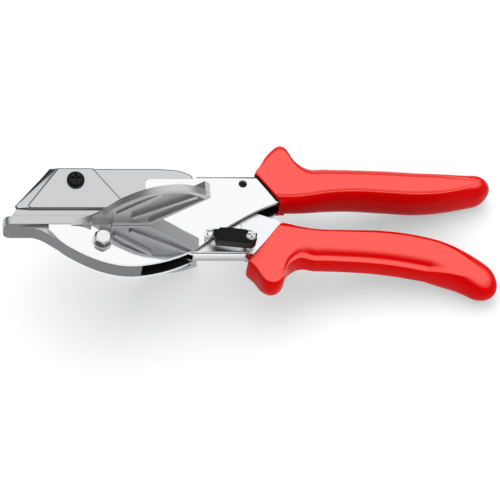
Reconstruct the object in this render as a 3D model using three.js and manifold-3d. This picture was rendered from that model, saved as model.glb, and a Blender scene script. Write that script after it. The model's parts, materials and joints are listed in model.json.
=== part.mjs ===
import * as THREE from 'three';
import { mergeVertices } from 'three/addons/utils/BufferGeometryUtils.js';
import Module from 'manifold-3d';

const wasm = await Module();
wasm.setup();

// Mitre shears, closed and latched, lying on their side. Millimetres.
// +X runs from the nose to the handles, +Y from the anvil table to the blade,
// +Z square to the blade. All places are measured from the main pivot.

// Driving dimensions: reach of the tool from its main pivot
const noseReach = 73.7;
const tipReach = 140.4;
const tableDrop = 8.5;
const jawHeight = 17.5;

// Clearances
const seat = 0.2;
const running = 0.3;
const overrun = 1;

// Anvil lever: the outer channel, pressed from chromed sheet
const outerWidth = 13;
const outerSheet = 1.8;
const bowReach = 54.4;
const bowDrop = 15.2;
const bowDepth = 32.5;
const cheekFront = 11.3;
const cheekTop = 9.9;
const cheekCorner = 2.6;
const webStart = 12.6;
const webHeight = 12.1;
const outerBend = 2.2;
const hangHoleRadius = 1.85;
const hangHoleX = 31.6;
const hangHoleDrop = 4.6;

// Blade lever: the inner channel, pressed from chromed sheet
const innerWidth = 7.6;
const innerSheet = 1.6;
const innerNoseRadius = 9.3;
const innerWebStart = 8.5;
const innerWebDepth = 25.8;
const innerBend = 1.3;

// Blade arm, blade and clamp plate
const armThickness = 4;
const armNoseReach = 68;
const armSwingRadius = 15.3;
const armRimRadius = 17.2;
const armHeelRadius = 12.4;
const armTailReach = 36;
const armTailTop = -4.2;
const bladeThickness = 1;
const bladeReach = 71.3;
const bladeHeel = 13.2;
const bladeTop = 3;
const bladeSlant = 8;
const clampThickness = 2.4;
const clampBottom = -3.4;
const clampDrop = 1.1;
const clampNoseReach = 68.6;
const clampTopFront = 52.6;
const clampTopRear = 33.8;
const clampBottomRear = 18.8;
const clampCorner = 1.2;
const clampBevelTop = 3.5;
const clampBevelFoot = 5.6;
const clampBevelDepth = 1;
const bladeScrewX = -41.6;
const bladeScrewY = 10.3;
const bladeScrewRadius = 2;
const bladeScrewHead = 3.9;
const bladeScrewHeadHeight = 2.3;
const bladePinRadius = 1;
const bladePinSpacing = 26;

// Anvil table: one zinc casting with a rail, a nose and two wings
const railHeight = 4;
const noseRound = 3.6;
const wingDrop = 1.6;
const wingDepth = 3.2;
const wingPlate = 1.7;
const wingSpan = 37.7;
const wingFront = 46;
const wingCornerX = 13.9;
const wingCornerZ = wingSpan * 0.828;
const wingRim = 2.2;
const ribWidth = 1.8;
const fenceThickness = 3.2;
const fenceHeight = 4;
const fenceGap = 5.2;
const castingWebEnd = 14.2;
const wrenchPocketWidth = 9;

// Table bolt
const tableBoltX = -31.2;
const tableBoltY = -20.6;
const tableBoltRadius = 2;
const tableBoltFlats = 7;
const tableBoltHead = 2.8;
const washerThickness = 0.8;
const washerRadius = 4.4;

// Main pivot
const pivotRadius = 2.5;
const pivotHeadRadius = 4.6;
const pivotHeadHeight = 2.2;
const pivotNutFlats = 8;
const pivotNutHeight = 3.2;
const bushWall = 1.5;
const pivotWasherRadius = 6.5;

// Latch
const latchScrewX = 33;
const latchScrewY = -21.9;
const latchScrewRadius = 1.5;
const latchHeadRadius = 2.5;
const latchHeadHeight = 1.2;
const latchLift = 1.4;
const latchBodyThickness = 4.6;
const latchBodyWidth = 7.2;
const latchBodyReach = 16;
const latchEdge = 0.7;
const latchHookThickness = 1.2;
const latchHookWidth = 2;
const latchPinX = 15.6;
const latchPinY = -18.6;
const latchPinRadius = 1.4;
const latchShank = 1.1;
const latchPinHeight = 2.4;

// Opening spring
const springRadius = 3.4;
const springWire = 1;
const springTurns = 6;
const springX = armTailReach * 0.625;

// Grips: PVC sleeves dipped over the channel tails
const upperMouthX = 38;
const upperTipX = 141.9;
const upperAxisY = 7;
const upperHeight = 13.2;
const upperThickness = 20;
const lowerMouthX = 31.5;
const lowerAxisY = -20.7;
const lowerDroop = 21.6;
const lowerHeight = 15.4;
const lowerThickness = 17.5;
const outerTailHeight = 8.4;
const innerTailHeight = 10;
const tailEndShare = 0.86;
const gripGap = 0.25;

// Facets
const roundSides = 24;
const gripSides = 20;
const gripSteps = 46;
const splineSteps = 20;

// Heights along Z, worked out from the stack of sheets
const outerFace = outerWidth / 2;
const outerInside = outerFace - outerSheet;
const innerFace = innerWidth / 2;
const innerInside = innerFace - innerSheet;
const armFace = armThickness / 2;
const tableTop = -tableDrop;
const tableUnder = tableTop - railHeight;
const wingTop = tableTop - wingDrop;
const wingUnder = wingTop - wingDepth;

const at = (x, y) => new THREE.Vector2(x, y);

// Points of a smooth curve through a few chosen points
function smooth(points, steps = splineSteps) {
  return new THREE.SplineCurve(points).getPoints(steps);
}

// Points of an arc, its angles in turns
function arc(x, y, radius, from, to, steps = 8) {
  const turn = 2 * Math.PI;
  return new THREE.EllipseCurve(x, y, radius, radius, from * turn, to * turn, to < from)
    .getPoints(steps);
}

function solidOf(geometry) {
  const bare = geometry.clone();
  bare.deleteAttribute('normal');
  bare.deleteAttribute('uv');
  const merged = mergeVertices(bare, 1e-4);
  return new wasm.Manifold(new wasm.Mesh({
    numProp: 3,
    vertProperties: merged.attributes.position.array,
    triVerts: new Uint32Array(merged.index.array)
  }));
}

function geometryOf(solid) {
  const mesh = solid.getMesh();
  const geometry = new THREE.BufferGeometry();
  const positions = new Float32Array(mesh.vertProperties);
  geometry.setAttribute('position', new THREE.BufferAttribute(positions, 3));
  geometry.setIndex(new THREE.BufferAttribute(new Uint32Array(mesh.triVerts), 1));
  geometry.computeVertexNormals();
  return geometry;
}

// A plate: an outline in the plane of the blade, from one height to another
function plate(points, low, high) {
  const geometry = new THREE.ExtrudeGeometry(new THREE.Shape(points), {
    depth: high - low,
    bevelEnabled: false
  });
  geometry.translate(0, 0, low);
  return solidOf(geometry);
}

// A slab: an outline in plan, given as x and z, between two levels of y
function slab(points, low, high) {
  const geometry = new THREE.ExtrudeGeometry(new THREE.Shape(points), {
    depth: high - low,
    bevelEnabled: false
  });
  geometry.rotateX(Math.PI / 2);
  geometry.translate(0, high, 0);
  return solidOf(geometry);
}

// A round bar square to the blade
function bar(x, y, radius, low, high, sides = roundSides) {
  const geometry = new THREE.CylinderGeometry(radius, radius, high - low, sides);
  geometry.rotateX(Math.PI / 2);
  geometry.translate(x, y, (low + high) / 2);
  return solidOf(geometry);
}

function block(x0, x1, y0, y1, z0, z1) {
  const geometry = new THREE.BoxGeometry(x1 - x0, y1 - y0, z1 - z0);
  geometry.translate((x0 + x1) / 2, (y0 + y1) / 2, (z0 + z1) / 2);
  return solidOf(geometry);
}

// A profile of radius and height turned about a line square to the blade
function turned(profile, x, y, sides = roundSides) {
  const geometry = new THREE.LatheGeometry(profile, sides);
  geometry.rotateX(Math.PI / 2);
  geometry.translate(x, y, 0);
  return solidOf(geometry);
}

// Across-corners radius of a hexagon given across its flats
const hexRadius = (flats) => flats / Math.sqrt(3);

// An outline moved outwards by a distance, point by point
const leastSpacing = 0.02;
const leastTurn = 0.5;
function grown(points, distance) {
  const turn = THREE.ShapeUtils.isClockWise(points) ? -1 : 1;
  const closed = points.filter((p, i) => {
    const after = points[(i + 1) % points.length];
    return p.distanceTo(after) > leastSpacing;
  });
  return closed.map((p, i) => {
    const before = closed[(i + closed.length - 1) % closed.length];
    const after = closed[(i + 1) % closed.length];
    const a = p.clone().sub(before).normalize();
    const b = after.clone().sub(p).normalize();
    const normal = at(a.y + b.y, -a.x - b.x).normalize();
    const reach = distance / Math.max(normal.dot(at(a.y, -a.x)), leastTurn);
    return p.clone().addScaledVector(normal, turn * reach);
  });
}

function mirrored(solid) {
  return solid.add(solid.mirror([0, 0, 1]));
}

const group = new THREE.Group();

function addPart(name, solid, color, roughness, metalness) {
  const material = new THREE.MeshStandardMaterial({ color, roughness, metalness });
  const mesh = new THREE.Mesh(geometryOf(solid), material);
  mesh.name = name;
  group.add(mesh);
}

const chrome = ['#e9eaec', 0.08, 1];
const steel = ['#c9cbcd', 0.3, 1];
const zinc = ['#7c7e80', 0.45, 0.8];
const blackSteel = ['#1b1b1c', 0.45, 0.6];
const redPvc = ['#e02a24', 0.25, 0];
const blackPlastic = ['#131314', 0.5, 0];

// Grip forms. Each row holds the place along the grip, the height of its centre line,
// the height of the sleeve outwards and inwards of that line, and half its thickness.
const upperRowShares = [
  [0, -0.05, 0.62, 0.69, 0.4],
  [0.02, -0.03, 0.84, 0.7, 0.4],
  [0.05, -0.01, 1.2, 0.7, 0.4],
  [0.1, 0, 1.52, 0.68, 0.4],
  [0.145, 0, 1.45, 0.65, 0.4],
  [0.175, 0.01, 1.02, 0.63, 0.41],
  [0.215, 0.02, 0.62, 0.61, 0.43],
  [0.29, 0.03, 0.57, 0.54, 0.47],
  [0.4, 0.02, 0.56, 0.51, 0.5],
  [0.55, -0.03, 0.55, 0.52, 0.51],
  [0.68, -0.08, 0.53, 0.5, 0.51],
  [0.8, -0.06, 0.48, 0.44, 0.5],
  [0.91, 0.01, 0.42, 0.4, 0.48],
  [1, 0.09, 0.37, 0.36, 0.45]
];
// The lower grip's rows give the sleeve's height inwards first, since its guard points down.
const lowerRowShares = [
  [0, 0, 0.6, 0.7, 0.42],
  [0.025, 0, 0.6, 0.84, 0.42],
  [0.05, 0, 0.6, 1.18, 0.42],
  [0.075, 0, 0.6, 1.38, 0.43],
  [0.1, 0, 0.65, 1.43, 0.44],
  [0.13, -0.005, 0.69, 1.25, 0.45],
  [0.155, -0.01, 0.66, 0.9, 0.46],
  [0.19, -0.03, 0.6, 0.6, 0.48],
  [0.28, -0.06, 0.5, 0.51, 0.5],
  [0.4, -0.1, 0.5, 0.52, 0.5],
  [0.54, -0.15, 0.54, 0.55, 0.5],
  [0.67, -0.25, 0.55, 0.56, 0.5],
  [0.8, -0.44, 0.54, 0.54, 0.49],
  [0.9, -0.7, 0.5, 0.5, 0.47],
  [1, -1.06, 0.44, 0.44, 0.44]
];

// The same rows in millimetres, as smooth functions of the place along the grip
function gripForm(rows, grip) {
  const reach = grip.tip - grip.mouth;
  const points = rows.map(([along, rise, out, inwards, half]) => ({
    centre: new THREE.Vector3(grip.mouth + along * reach, grip.axis + rise * grip.rise, 0),
    size: new THREE.Vector3(out * grip.height, inwards * grip.height, half * grip.thickness)
  }));
  const centre = new THREE.CatmullRomCurve3(points.map((p) => p.centre), false, 'centripetal');
  const size = new THREE.CatmullRomCurve3(points.map((p) => p.size), false, 'catmullrom', 0.4);
  return {
    centre: (share) => centre.getPoint(share),
    tangent: (share) => centre.getTangent(share),
    size: (share) => size.getPoint(share)
  };
}

const upperForm = gripForm(upperRowShares, {
  mouth: upperMouthX,
  tip: upperTipX,
  axis: upperAxisY,
  rise: upperHeight,
  height: upperHeight,
  thickness: upperThickness
});
const lowerRows = lowerRowShares.map(
  ([along, rise, inwards, out, half]) => [along, rise, out, inwards, half]
);
const lowerForm = gripForm(lowerRows, {
  mouth: lowerMouthX,
  tip: tipReach,
  axis: lowerAxisY,
  rise: lowerDroop,
  height: lowerHeight,
  thickness: lowerThickness
});

// A grip's section, for half sizes of 1: rounded sides and two flat faces, which end in
// crisp ridges at ridgeTurn. Its first number runs across the grip, its second through it.
const sidePower = 2.4;
const ridgeTurn = 0.15;
const faceGain = Math.pow(Math.sin(2 * Math.PI * ridgeTurn), -2 / sidePower);
const rounded = (value) => Math.sign(value) * Math.pow(Math.abs(value), 2 / sidePower);
function sectionPoint(turn) {
  const angle = 2 * Math.PI * turn;
  const through = faceGain * rounded(Math.sin(angle));
  return at(rounded(Math.cos(angle)), Math.max(-1, Math.min(1, through)));
}

// The sections run along the grip's centre line, closer towards its round end.
// outward is 1 where the guard stands towards +Y, and -1 where it stands towards -Y.
const endShare = 0.94;
const endCrowding = 1.35;
const endLeast = 0.1;
function gripBlank(form, outward) {
  const positions = [];
  const index = [];
  for (let i = 0; i <= gripSteps; i++) {
    const share = 1 - Math.pow(1 - i / gripSteps, endCrowding);
    const centre = form.centre(share);
    const tangent = form.tangent(share);
    const size = form.size(share);
    const past = Math.max(0, (share - endShare) / (1 - endShare));
    const drawn = Math.max(Math.sqrt(1 - past * past), endLeast);
    for (let k = 0; k < gripSides; k++) {
      const section = sectionPoint(k / gripSides);
      const half = section.x > 0 ? size.x : size.y;
      const offset = outward * section.x * half * drawn;
      positions.push(
        centre.x - tangent.y * offset,
        centre.y + tangent.x * offset,
        section.y * size.z * drawn
      );
    }
  }
  const first = form.centre(0);
  const last = form.centre(1);
  positions.push(first.x, first.y, 0, last.x, last.y, 0);
  const startCap = (gripSteps + 1) * gripSides;
  for (let k = 0; k < gripSides; k++) {
    const next = (k + 1) % gripSides;
    for (let i = 0; i < gripSteps; i++) {
      const a = i * gripSides + k;
      const b = i * gripSides + next;
      index.push(a, a + gripSides, b, b, a + gripSides, b + gripSides);
    }
    index.push(startCap, k, next);
    index.push(startCap + 1, gripSteps * gripSides + next, gripSteps * gripSides + k);
  }
  if (outward > 0) {
    index.reverse();
  }
  const geometry = new THREE.BufferGeometry();
  geometry.setAttribute('position', new THREE.Float32BufferAttribute(positions, 3));
  geometry.setIndex(index);
  return solidOf(geometry);
}

// One edge of a channel tail: the grip's centre line moved sideways
function tailEdge(form, from, to, offset, steps = 9) {
  const points = [];
  for (let i = 0; i <= steps; i++) {
    const share = from + (to - from) * i / steps;
    const centre = form.centre(share);
    const tangent = form.tangent(share);
    points.push(at(centre.x - tangent.y * offset, centre.y + tangent.x * offset));
  }
  return points;
}

// Anvil lever outline
// Bow: places as shares of its reach, its depth below the pivot and the mouth's place
const bowTip = at(-bowReach, -bowDrop);
const bowDive = bowDepth - bowDrop;
const bowEdge = smooth([
  bowTip,
  at(-bowReach * 0.84, -bowDrop - bowDive * 0.44),
  at(-bowReach * 0.6, -bowDrop - bowDive * 0.84),
  at(-bowReach * 0.36, -bowDepth),
  at(-bowReach * 0.1, -bowDrop - bowDive * 0.89),
  at(bowReach * 0.13, -bowDrop - bowDive * 0.62),
  at(bowReach * 0.27, -bowDrop - bowDive * 0.32),
  at(bowReach * 0.43, -bowDrop + bowDive * 0.07),
  at(bowReach * 0.66, -bowDrop + bowDive * 0.51),
  at(bowReach * 0.84, -bowDrop + bowDive * 0.76)
], 40);
const upperTailFrom = 0.46;
const outerOutline = [
  ...bowEdge,
  at(bowReach * 0.92, webHeight * 0.1),
  ...tailEdge(upperForm, upperTailFrom, tailEndShare, -outerTailHeight / 2),
  ...tailEdge(upperForm, tailEndShare, upperTailFrom, outerTailHeight / 2),
  at(upperMouthX, webHeight),
  at(webStart, webHeight),
  at(webStart - outerBend, cheekTop),
  ...arc(-cheekFront + cheekCorner, cheekTop - cheekCorner, cheekCorner, 0.25, 0.5, 5),
  at(-cheekFront, tableUnder - seat),
  at(-bowReach, tableUnder - seat)
];

// The outer channel: two cheeks and the web that joins them along the top
function outerChannel() {
  const cheek = plate(outerOutline, outerInside, outerFace);
  const webTop = [
    at(webStart, webHeight),
    at(upperMouthX, webHeight),
    ...tailEdge(upperForm, upperTailFrom, tailEndShare, outerTailHeight / 2)
  ];
  const webBottom = webTop.map((p) => at(p.x, p.y - outerSheet)).reverse();
  const web = plate([...webTop, ...webBottom], -outerFace, outerFace);
  let channel = mirrored(cheek).add(web);
  const bend = bendCutter(webStart - outerBend, upperMouthX, webHeight, outerFace, outerBend);
  channel = channel.subtract(mirrored(bend));
  // The web is notched where the arm's rim swings through it
  channel = channel.subtract(bar(
    0, 0, armRimRadius + running, -armFace - running, armFace + running, roundSides * 2
  ));
  const holes = [
    [0, 0, pivotRadius + running],
    [tableBoltX, tableBoltY, tableBoltRadius + running],
    [hangHoleX, webHeight - hangHoleDrop, hangHoleRadius]
  ];
  for (const [x, y, radius] of holes) {
    channel = channel.subtract(bar(x, y, radius, -outerWidth, outerWidth));
  }
  return channel.subtract(bar(latchPinX, latchPinY, latchShank + seat, 0, outerWidth));
}

// What is taken off a square edge along X to leave a round bend there
function bendCutter(from, to, edgeY, edgeZ, radius) {
  const side = Math.sign(edgeY);
  const profile = [
    at(-edgeZ - overrun, edgeY + side * overrun),
    at(-edgeZ - overrun, edgeY - side * radius),
    at(-edgeZ, edgeY - side * radius)
  ];
  const steps = 5;
  for (let i = 1; i < steps; i++) {
    const angle = Math.PI / 2 * i / steps;
    profile.push(at(
      -edgeZ + radius * (1 - Math.cos(angle)),
      edgeY - side * radius * (1 - Math.sin(angle))
    ));
  }
  profile.push(at(-edgeZ + radius, edgeY), at(-edgeZ + radius, edgeY + side * overrun));
  const geometry = new THREE.ExtrudeGeometry(new THREE.Shape(profile), {
    depth: to - from,
    bevelEnabled: false
  });
  geometry.rotateY(Math.PI / 2);
  geometry.translate(from, 0, 0);
  return solidOf(geometry);
}

addPart('anvil_lever_channel', outerChannel(), ...chrome);

// Anvil table casting
// Plan of a wing, from the rail out along its leading edge, round its end and back
// at 45 degrees along the mitre fence
const wingReach = wingSpan - outerFace;
const wingPoint = (x, share) => at(x, outerFace + wingReach * share);
const wingEdge = [
  ...smooth([
    wingPoint(-wingFront, 0),
    wingPoint(-wingFront * 0.88, 0.035),
    wingPoint(-wingFront * 0.77, 0.14),
    wingPoint(-wingFront * 0.65, 0.35),
    wingPoint(-wingFront * 0.53, 0.59),
    wingPoint(-wingFront * 0.37, 0.8),
    wingPoint(-wingFront * 0.24, 0.915),
    wingPoint(-wingFront * 0.09, 0.985),
    wingPoint(wingCornerX * 0.14, 1),
    wingPoint(wingCornerX * 0.54, 0.94),
    wingPoint(wingCornerX * 0.84, 0.855)
  ], 22),
  at(wingCornerX, wingCornerZ),
  at(wingCornerX - (wingCornerZ - outerFace), outerFace)
];
const wingOutline = [
  at(-wingFront, outerFace - seat * 2),
  ...wingEdge,
  at(wingCornerX - (wingCornerZ - outerFace), outerFace - seat * 2)
];

// The bow between the cheeks, with its thin tongue under the rail's nose
const webOutline = [
  at(-noseReach + noseRound * 2, tableUnder + railHeight / 2),
  ...smooth([
    at(-noseReach + noseRound * 2, tableUnder - seat),
    at(-noseReach * 0.84, tableUnder - railHeight * 0.22),
    at(-noseReach * 0.78, tableUnder - railHeight * 0.55),
    bowTip.clone().add(at(0, -railHeight * 0.35))
  ], 6),
  ...bowEdge.filter((p) => p.x > -bowReach * 0.93 && p.x < -castingWebEnd),
  at(-castingWebEnd, -bowDepth * 0.985),
  at(-castingWebEnd, tableUnder + railHeight / 2)
];

const ribRuns = [
  [at(-wingFront * 0.55, wingSpan * 0.42), at(-wingFront * 0.16, wingSpan * 0.89)],
  [at(-wingFront * 0.4, wingSpan * 0.33), at(wingCornerX * 0.58, wingSpan * 0.84)]
];
const pocketInset = wingRim * 1.2;
const wingMiddle = at(-wingFront * 0.26, wingSpan * 0.5);

// A straight strip in plan, from one point to another, of a given width
function strip(from, to, width, low, high) {
  const along = to.clone().sub(from).normalize().multiplyScalar(width / 2);
  const side = at(-along.y, along.x);
  return slab([
    from.clone().sub(side),
    to.clone().sub(side),
    to.clone().add(side),
    from.clone().add(side)
  ], low, high);
}

// A wing: a plate with a rim and two ribs below, and the mitre fence along its 45 degree edge
function wing() {
  const pocketPlan = wingEdge.map((p) => {
    const inward = wingMiddle.clone().sub(p).normalize();
    return p.clone().addScaledVector(inward, pocketInset);
  });
  const pocket = slab(pocketPlan, wingUnder - overrun, wingTop - wingPlate)
    .subtract(block(
      -noseReach, tipReach, -jawHeight, jawHeight, 0, outerFace + wingRim
    ));
  let shape = slab(wingOutline, wingUnder, wingTop).subtract(pocket);
  for (const [from, to] of ribRuns) {
    shape = shape.add(strip(from, to, ribWidth, wingUnder, wingTop - wingPlate / 2));
  }
  const halfFence = at(-fenceThickness, fenceThickness).multiplyScalar(Math.SQRT1_2 / 2);
  const fenceEnd = at(wingCornerX, wingCornerZ).add(halfFence);
  const fenceRoot = at(wingCornerX - (wingCornerZ - fenceGap), fenceGap).add(halfFence);
  shape = shape.add(strip(
    fenceRoot, fenceEnd, fenceThickness, wingTop - wingPlate / 2, wingTop + fenceHeight
  ));
  return shape.subtract(block(
    tableBoltX - wrenchPocketWidth / 2, tableBoltX + wrenchPocketWidth / 2,
    wingUnder - overrun, wingTop - wingPlate / 2,
    outerFace, outerFace + wrenchPocketWidth
  ));
}

function anvilTable() {
  const rail = slab([
    ...arc(-noseReach + noseRound, outerFace - noseRound, noseRound, 0.5, 0.25, 5),
    at(-cheekFront - seat, outerFace),
    at(-cheekFront - seat, -outerFace),
    ...arc(-noseReach + noseRound, -outerFace + noseRound, noseRound, -0.25, -0.5, 5)
  ], tableUnder, tableTop);
  const web = plate(webOutline, -outerInside + seat, outerInside - seat);
  const wings = mirrored(wing());
  let casting = rail.add(web).add(wings);
  const cheekRoom = plate(grown(outerOutline, seat), outerInside - seat, outerFace + seat);
  casting = casting.subtract(mirrored(cheekRoom));
  casting = casting.subtract(block(
    -castingWebEnd, tipReach, tableUnder - bowDepth, jawHeight, -outerInside, outerInside
  ));
  return casting.subtract(
    bar(tableBoltX, tableBoltY, tableBoltRadius + running, -outerWidth, outerWidth)
  );
}
addPart('anvil_table', anvilTable(), ...zinc);

// A ring: a washer or a bush
function ring(x, y, inner, outer, low, high) {
  return turned([
    at(inner, low),
    at(outer, low),
    at(outer, high),
    at(inner, high),
    at(inner, low)
  ], x, y);
}

// Table bolt: hexagon head and washer on the near cheek, nut on the far one
const washerFace = outerFace + seat + washerThickness;
const tableHeadBase = washerFace + seat;
const tableHeadTop = tableHeadBase + tableBoltHead;
const tableBoltEnd = -outerFace - tableBoltHead * 1.7;
const headCorner = hexRadius(tableBoltFlats);
const tableBolt = bar(tableBoltX, tableBoltY, headCorner, tableHeadBase, tableHeadTop, 6)
  .intersect(turned([
    at(0, tableHeadBase - overrun),
    at(headCorner + overrun, tableHeadBase - overrun),
    at(headCorner + overrun, tableHeadBase + tableBoltHead * 0.55),
    at(tableBoltFlats * 0.42, tableHeadTop),
    at(0, tableHeadTop)
  ], tableBoltX, tableBoltY))
  .add(bar(
    tableBoltX, tableBoltY, tableBoltRadius, tableBoltEnd, tableHeadBase + tableBoltHead / 2
  ));
addPart('table_bolt', tableBolt, ...chrome);
addPart('table_bolt_washer', ring(
  tableBoltX, tableBoltY, tableBoltRadius + running, washerRadius, outerFace + seat, washerFace
), ...steel);
const tableNutBase = -outerFace - seat;
addPart('table_nut', bar(
  tableBoltX, tableBoltY, hexRadius(tableBoltFlats), tableNutBase - tableBoltHead, tableNutBase, 6
).subtract(bar(
  tableBoltX, tableBoltY, tableBoltRadius + running, -outerWidth, outerWidth
)), ...steel);

// Main pivot: a low round-headed bolt through both channels, with a lock nut
const pivotHeadBase = outerFace + seat;
const pivotBolt = turned([
  at(0, -outerFace - pivotNutHeight - washerThickness),
  at(pivotRadius, -outerFace - pivotNutHeight - washerThickness),
  at(pivotRadius, pivotHeadBase),
  at(pivotHeadRadius, pivotHeadBase),
  at(pivotHeadRadius, pivotHeadBase + pivotHeadHeight * 0.6),
  at(pivotHeadRadius * 0.75, pivotHeadBase + pivotHeadHeight),
  at(0, pivotHeadBase + pivotHeadHeight)
], 0, 0);
addPart('pivot_bolt', pivotBolt, ...steel);
addPart('pivot_nut', bar(
  0, 0, hexRadius(pivotNutFlats), -pivotHeadBase - pivotNutHeight, -pivotHeadBase, 6
).subtract(bar(0, 0, pivotRadius + running, -outerWidth, outerWidth)), ...steel);
addPart('pivot_washer_front', ring(
  0, 0, pivotRadius + running, pivotWasherRadius, innerFace + seat, outerInside - seat
), ...steel);
addPart('pivot_washer_back', ring(
  0, 0, pivotRadius + running, pivotWasherRadius, -outerInside + seat, -innerFace - seat
), ...steel);
const bushOuter = pivotRadius + running + bushWall;
addPart('pivot_bush', ring(
  0, 0, pivotRadius + running, bushOuter, -innerFace, innerFace
), '#b08a4a', 0.4, 0.9);

// Blade lever: the inner channel
const lowerTailFrom = 0.5;
const innerTailTop = tailEdge(lowerForm, lowerTailFrom, tailEndShare, innerTailHeight / 2);
const innerTailBottom = tailEdge(lowerForm, lowerTailFrom, tailEndShare, -innerTailHeight / 2);
const innerOutline = [
  at(innerWebStart, -innerWebDepth),
  at(lowerMouthX, -innerWebDepth),
  ...innerTailBottom,
  ...[...innerTailTop].reverse(),
  at(lowerMouthX * 1.52, -innerNoseRadius * 1.26),
  at(lowerMouthX * 1.48, -innerNoseRadius),
  at(lowerMouthX * 1.16, -innerNoseRadius * 0.6),
  at(springX + springRadius + springWire, armTailTop - seat * 2),
  at(springX - springRadius - springWire, armTailTop - seat * 2),
  ...arc(0, 0, innerNoseRadius, 0.02, 0.58, 14),
  at(innerWebStart * 0.3, -innerWebDepth * 0.93)
];

function innerChannel() {
  const cheek = plate(innerOutline, innerInside, innerFace);
  const edge = [
    at(innerWebStart, -innerWebDepth),
    at(lowerMouthX, -innerWebDepth),
    ...innerTailBottom
  ];
  const upperEdge = edge.map((p) => at(p.x, p.y + innerSheet)).reverse();
  const web = plate([...edge, ...upperEdge], -innerFace, innerFace);
  let channel = mirrored(cheek).add(web);
  const bend = bendCutter(
    innerWebStart - overrun, lowerMouthX, -innerWebDepth, innerFace, innerBend
  );
  channel = channel.subtract(mirrored(bend));
  channel = channel.subtract(bar(0, 0, bushOuter + running, -outerWidth, outerWidth));
  for (const [x, y] of rivetPlaces) {
    channel = channel.subtract(bar(x, y, rivetRadius + seat, -outerWidth, outerWidth));
  }
  return channel.subtract(bar(latchScrewX, latchScrewY, latchScrewRadius + seat, 0, outerWidth));
}
const rivetRadius = 2;
const rivetPlaces = [
  [armTailReach * 0.42, -innerNoseRadius * 1.1],
  [armTailReach * 0.78, -innerNoseRadius * 1.35]
];
addPart('blade_lever_channel', innerChannel(), ...chrome);

// Blade arm: a solid plate from the blade to its riveted tail between the inner cheeks
const springFoot = armTailTop + seat;
const armOutline = [
  at(-armNoseReach, clampBottom + clampCorner),
  at(-armNoseReach, clampBottom),
  at(-armHeelRadius * 0.99, clampBottom),
  ...arc(0, 0, armHeelRadius, 0.54, 0.66, 5),
  at(armTailReach * 0.25, -innerNoseRadius * 1.85),
  at(armTailReach, -innerNoseRadius * 1.95),
  at(armTailReach, -innerNoseRadius * 0.85),
  at(springX + springRadius + springWire, armTailTop),
  at(springX - springRadius - springWire, armTailTop),
  ...arc(0, 0, armSwingRadius, -0.02, 0.13, 7),
  ...arc(0, 0, armRimRadius, 0.15, 0.22, 6),
  at(-armSwingRadius * 0.26, jawHeight),
  at(-clampTopFront, jawHeight)
];

function bladeArm() {
  let arm = plate(armOutline, -armFace, armFace);
  arm = arm.add(block(
    springX - springRadius * 0.5, springX + springRadius * 0.5,
    armTailTop - overrun, armTailTop + springRadius, -armFace * 0.8, armFace * 0.8
  ));
  arm = arm.subtract(bar(0, 0, bushOuter + running, -outerWidth, outerWidth));
  for (const [x, y] of rivetPlaces) {
    arm = arm.subtract(bar(x, y, rivetRadius + seat, -outerWidth, outerWidth));
  }
  for (const [x, y] of bladePinPlaces) {
    arm = arm.subtract(bar(x, y, bladePinRadius + seat, -outerWidth, outerWidth));
  }
  return arm.subtract(bar(
    bladeScrewX, bladeScrewY, bladeScrewRadius + seat, -outerWidth, outerWidth
  ));
}
const bladePinPlaces = [
  [bladeScrewX - bladePinSpacing / 2, bladeTop - bladeThickness],
  [bladeScrewX + bladePinSpacing / 2, bladeTop - bladeThickness]
];
addPart('blade_arm', bladeArm(), '#cfd0d2', 0.25, 1);
for (const [i, [x, y]] of rivetPlaces.entries()) {
  addPart(`arm_rivet_${i + 1}`, bar(x, y, rivetRadius, -innerFace, innerFace), ...steel);
}

// Blade: a flat trapezoid with a ground edge, in the clamp plate's recess
const bladeBack = armFace + seat;
const bladeFront = bladeBack + bladeThickness;
const bladeEdgeY = tableTop + seat;
const bladeGrind = 2.2;
const bladeOutline = [
  at(-bladeReach, bladeEdgeY),
  at(-bladeHeel, bladeEdgeY),
  at(-bladeHeel - bladeSlant * 0.6, bladeTop),
  at(-bladeReach + bladeSlant, bladeTop)
];
function cuttingBlade() {
  let blade = plate(bladeOutline, bladeBack, bladeFront);
  const grind = solidOf(new THREE.ExtrudeGeometry(new THREE.Shape([
    at(-bladeFront - overrun, bladeEdgeY - overrun),
    at(-bladeFront - overrun, bladeEdgeY + bladeGrind),
    at(-bladeFront, bladeEdgeY + bladeGrind),
    at(-bladeBack - bladeThickness * 0.1, bladeEdgeY - bladeThickness * 0.05),
    at(-bladeBack - bladeThickness * 0.1, bladeEdgeY - overrun)
  ]), { depth: bladeReach * 2, bevelEnabled: false })
    .rotateY(Math.PI / 2).translate(-bladeReach * 1.5, 0, 0));
  blade = blade.subtract(grind);
  for (const [x, y] of bladePinPlaces) {
    blade = blade.subtract(bar(x, y, bladePinRadius + seat, -outerWidth, outerWidth));
    blade = blade.subtract(block(
      x - bladePinRadius - seat, x + bladePinRadius + seat, y, bladeTop + overrun, 0, outerWidth
    ));
  }
  return blade;
}
addPart('cutting_blade', cuttingBlade(), '#d4d6d8', 0.18, 1);
for (const [i, [x, y]] of bladePinPlaces.entries()) {
  const pin = bar(x, y, bladePinRadius, -armFace, bladeFront + bladeThickness / 2, 12);
  addPart(`blade_pin_${i + 1}`, pin, ...steel);
}

// Clamp plate over the blade, bevelled along its slanting front
const clampBack = armFace + seat;
const clampFront = clampBack + clampThickness;
const clampTop = jawHeight - clampDrop;

// The clamp plate's outline, its slanting front drawn back by a width at the top and the foot
function clampOutline(top, foot) {
  return [
    at(-clampNoseReach + clampCorner + foot, clampBottom),
    at(-clampBottomRear, clampBottom),
    at(-clampTopRear, clampTop),
    at(-clampTopFront + top, clampTop),
    at(-clampNoseReach + foot, clampBottom + clampCorner)
  ];
}

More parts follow.
